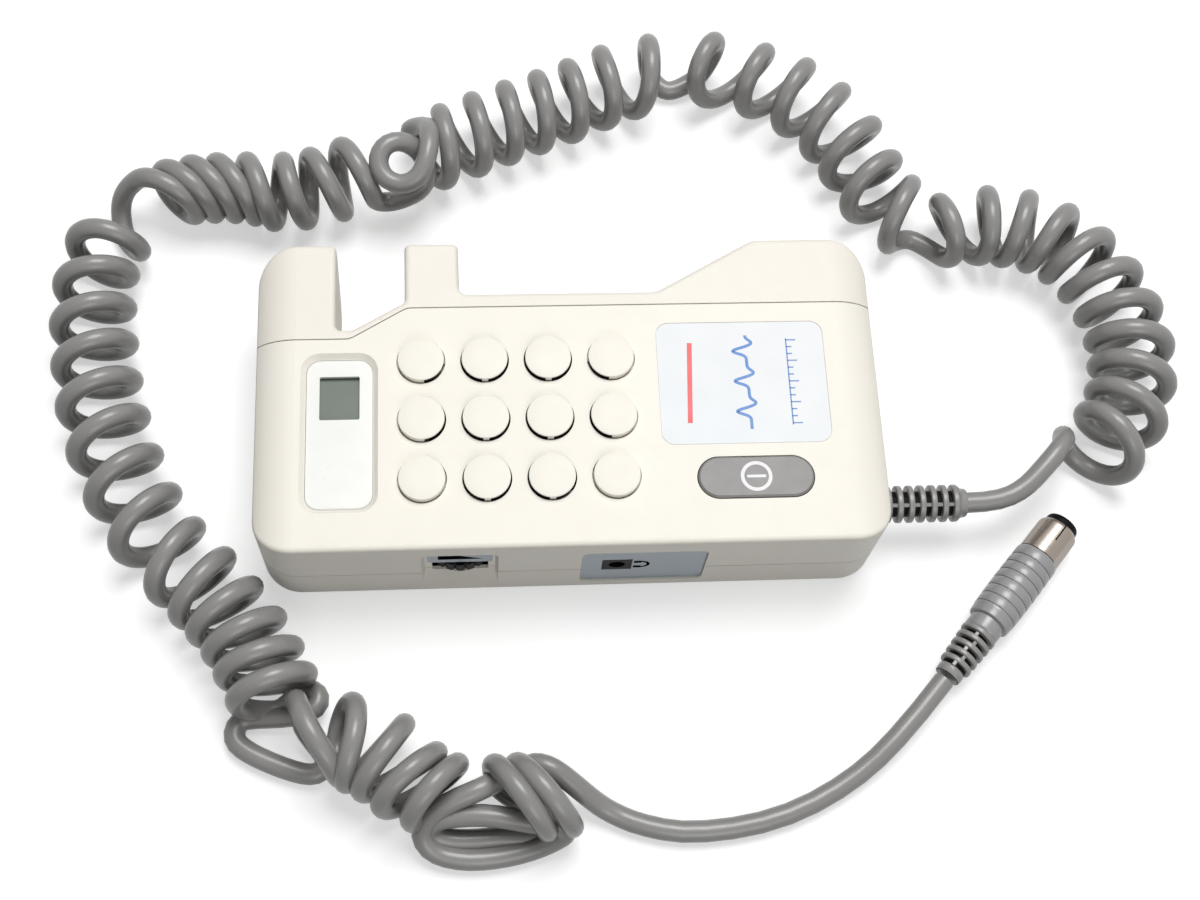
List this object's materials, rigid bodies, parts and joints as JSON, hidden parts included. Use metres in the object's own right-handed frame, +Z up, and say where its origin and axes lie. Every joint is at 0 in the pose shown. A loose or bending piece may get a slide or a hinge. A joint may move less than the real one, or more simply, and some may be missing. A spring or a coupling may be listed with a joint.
{
  "type": "vascular doppler",
  "caption": "Pocket vascular doppler with a disc speaker grille, display window, power button and thumb wheel, and a curly cord that ends in a probe connector.",
  "frame": {"origin": "on the table under the middle of the case, at the case's flat back face", "axes": "+X along the case towards the end where the cord leaves, +Y across it towards the hooked side with the notch, +Z up out of the front face"},
  "size_m": [0.2663, 0.2072, 0.0304],
  "materials": {
    "case_ivory": "moulded ivory ABS, fine satin texture",
    "lens": "printed clear plate, glossy",
    "lcd": "grey-green liquid crystal glass",
    "board": "green solder mask",
    "black_plastic": "black moulded plastic",
    "label_white": "white polyester label",
    "label_blue_grey": "blue-grey polyester label",
    "button_grey": "grey keypad plastic",
    "cord_grey": "grey cord jacket, semi-gloss",
    "steel": "plain steel",
    "cone_paper": "black paper cone",
    "plug_grey": "grey moulded plastic",
    "battery_wrap": "plain dark jacket",
    "brass": "gold-plated"
  },
  "bodies": {
    "doppler_unit": {"front_cover": "case_ivory", "back_cover": "case_ivory", "display_window": "lens", "lcd_module": "lcd", "display_board": "board", "display_header": "black_plastic", "front_label": "label_white", "power_switch": "black_plastic", "switch_board": "board", "volume_control": "black_plastic", "volume_label": "label_blue_grey", "headphone_socket": "black_plastic", "socket_label": "label_blue_grey", "speaker_frame": "steel", "speaker_cone": "cone_paper", "speaker_magnet": "steel", "main_board": "board", "board_screws": "steel", "case_screws": "steel", "battery": "battery_wrap", "battery_snap": "black_plastic", "battery_leads": "black_plastic", "cord_wires": "black_plastic", "speaker_leads": "black_plastic", "switch_leads": "black_plastic", "strain_relief": "cord_grey", "cord_lead": "cord_grey", "cord_coil": "cord_grey", "cord_tail": "cord_grey", "connector_boot": "cord_grey", "connector_body": "plug_grey", "connector_collar": "plug_grey", "connector_insert": "black_plastic", "connector_contacts": "brass"},
    "power_button": {"power_button": "button_grey", "switch_plunger": "black_plastic"},
    "volume_wheel": {"volume_wheel": "black_plastic"},
    "battery_door": {"battery_door": "case_ivory"},
    "connector_sleeve": {"connector_sleeve": "plug_grey"}
  },
  "joints": [
    {"name": "power_button_press", "type": "slide", "parent": "doppler_unit", "child": "power_button", "axis": [0, 0, -1], "range_m": [0, 0.0008], "stiffness_N_per_m": 1200},
    {"name": "volume_wheel_turn", "type": "hinge", "parent": "doppler_unit", "child": "volume_wheel", "pos_m": [-0.0254, -0.0278, 0.0135], "axis": [0, 0, 1], "range_deg": [-135, 135]},
    {"name": "battery_door_slide", "type": "slide", "parent": "doppler_unit", "child": "battery_door", "axis": [1, 0, 0], "range_m": [0, 0.012]},
    {"name": "connector_sleeve_slide", "type": "slide", "parent": "doppler_unit", "child": "connector_sleeve", "axis": [-0.6673, -0.7448, 0], "range_m": [0, 0.002], "stiffness_N_per_m": 600}
  ]
}
